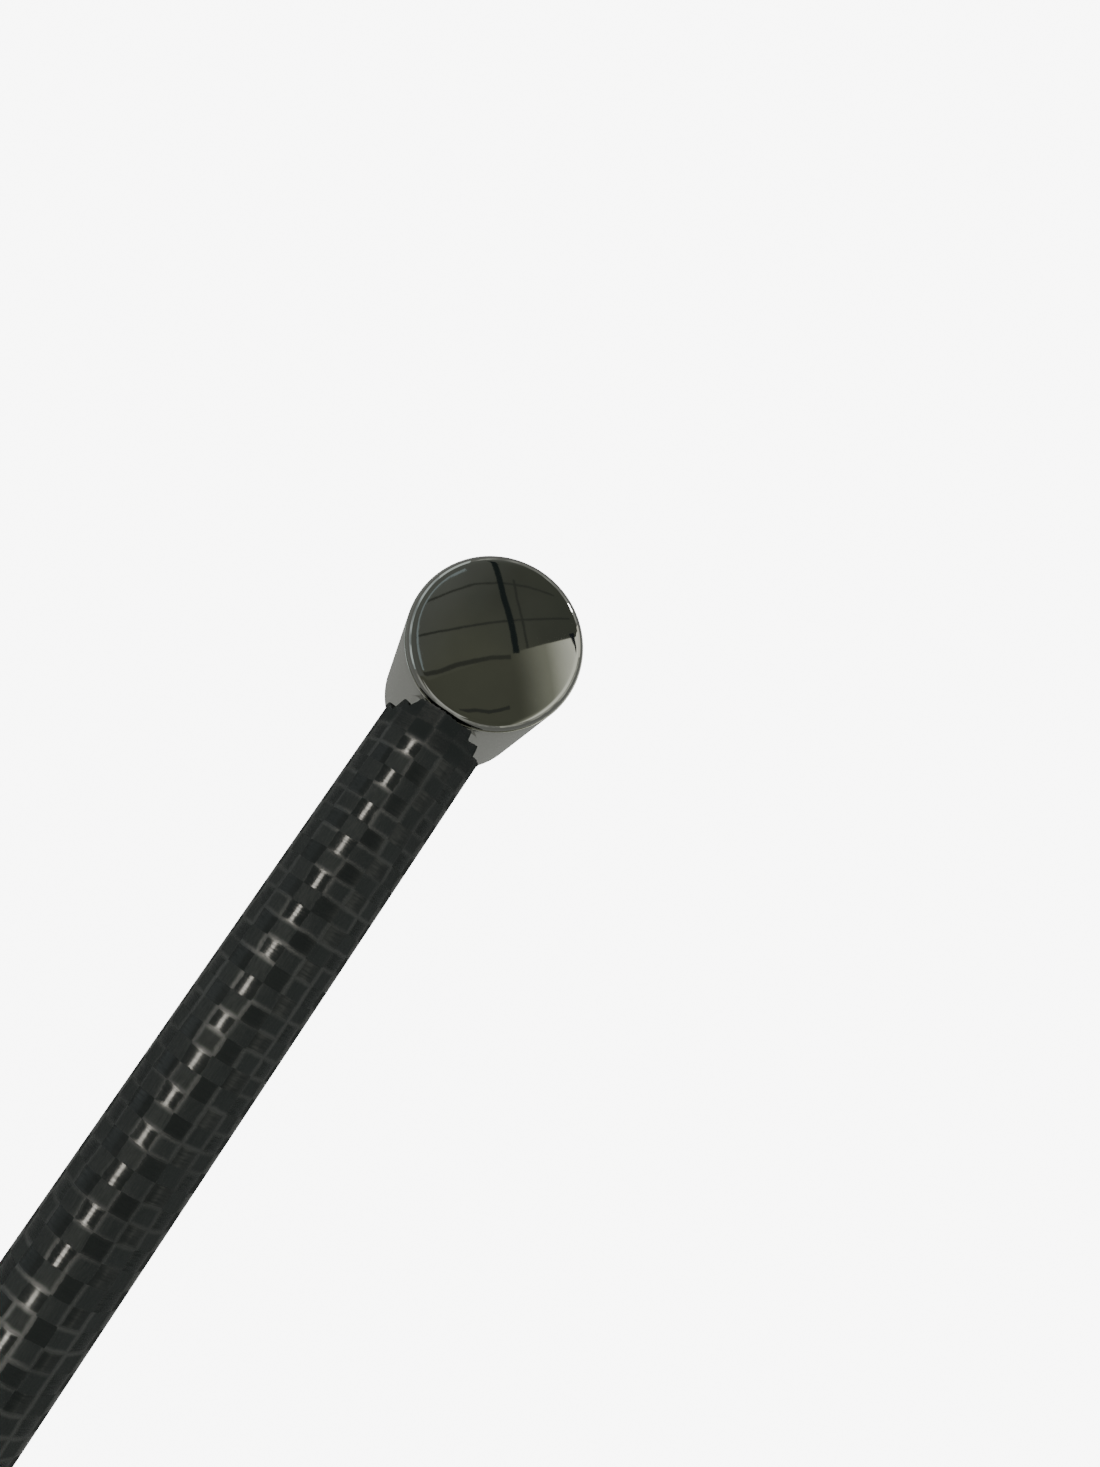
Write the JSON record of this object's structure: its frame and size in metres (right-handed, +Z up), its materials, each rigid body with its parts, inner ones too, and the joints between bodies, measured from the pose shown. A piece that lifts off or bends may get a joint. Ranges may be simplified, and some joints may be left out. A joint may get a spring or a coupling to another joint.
{
  "type": "curling broom",
  "caption": "Curling broom with a woven carbon handle, a padded fabric head on a tilting and swivelling joint, and a polished metal cross knob at the end.",
  "frame": {"origin": "centre of the pad's sole, on the floor, straight below the head hinge", "axes": "+Z up out of the pad, +X along the handle from the head to the end knob, +Y along the head hinge"},
  "size_m": [1.22, 0.2, 0.0793],
  "materials": {
    "cover_fabric": "woven technical fabric, matte",
    "foam": "closed-cell foam",
    "stiff_plastic": "satin",
    "base_plastic": "moulded, fine texture",
    "bracket_alloy": "bead blasted, anodised",
    "steel": "stainless, satin",
    "brass": "knurled",
    "bearing_plastic": "smooth",
    "rubber_black": "matte",
    "ferrule_alloy": "turned",
    "carbon_weave": "woven carbon in clear resin",
    "knob_metal": "mirror polished"
  },
  "bodies": {
    "head": {"pad_cover": "cover_fabric", "pad_foam": "foam", "pad_plate": "stiff_plastic", "clamp_frame": "stiff_plastic", "head_base": "base_plastic", "pad_screws": "steel", "screw_inserts": "brass", "pivot_bracket": "bracket_alloy", "bracket_screws": "steel", "fold_bumpers": "rubber_black", "hinge_pin": "steel", "hinge_nut": "steel", "hinge_washers": "steel", "side_rings": "bearing_plastic"},
    "pivot": {"pivot_block": "bracket_alloy", "pivot_bush": "bearing_plastic", "swivel_washer": "bearing_plastic", "swivel_retainer": "steel", "swivel_bolt": "steel"},
    "handle": {"ferrule": "ferrule_alloy", "swivel_sleeve": "bearing_plastic", "ferrule_screws": "steel", "handle_tube": "carbon_weave", "knob_plug": "ferrule_alloy", "knob_washer": "steel", "knob_bolt": "steel", "knob_shell": "knob_metal", "knob_cap": "knob_metal", "knob_foot": "rubber_black"}
  },
  "joints": [
    {"name": "head_tilt", "type": "hinge", "parent": "head", "child": "pivot", "pos_m": [0, 0, 0.064], "axis": [0, -1, 0], "range_deg": [0, 180]},
    {"name": "handle_swivel", "type": "hinge", "parent": "pivot", "child": "handle", "pos_m": [0, 0, 0.064], "axis": [1, 0, 0], "continuous": true}
  ]
}
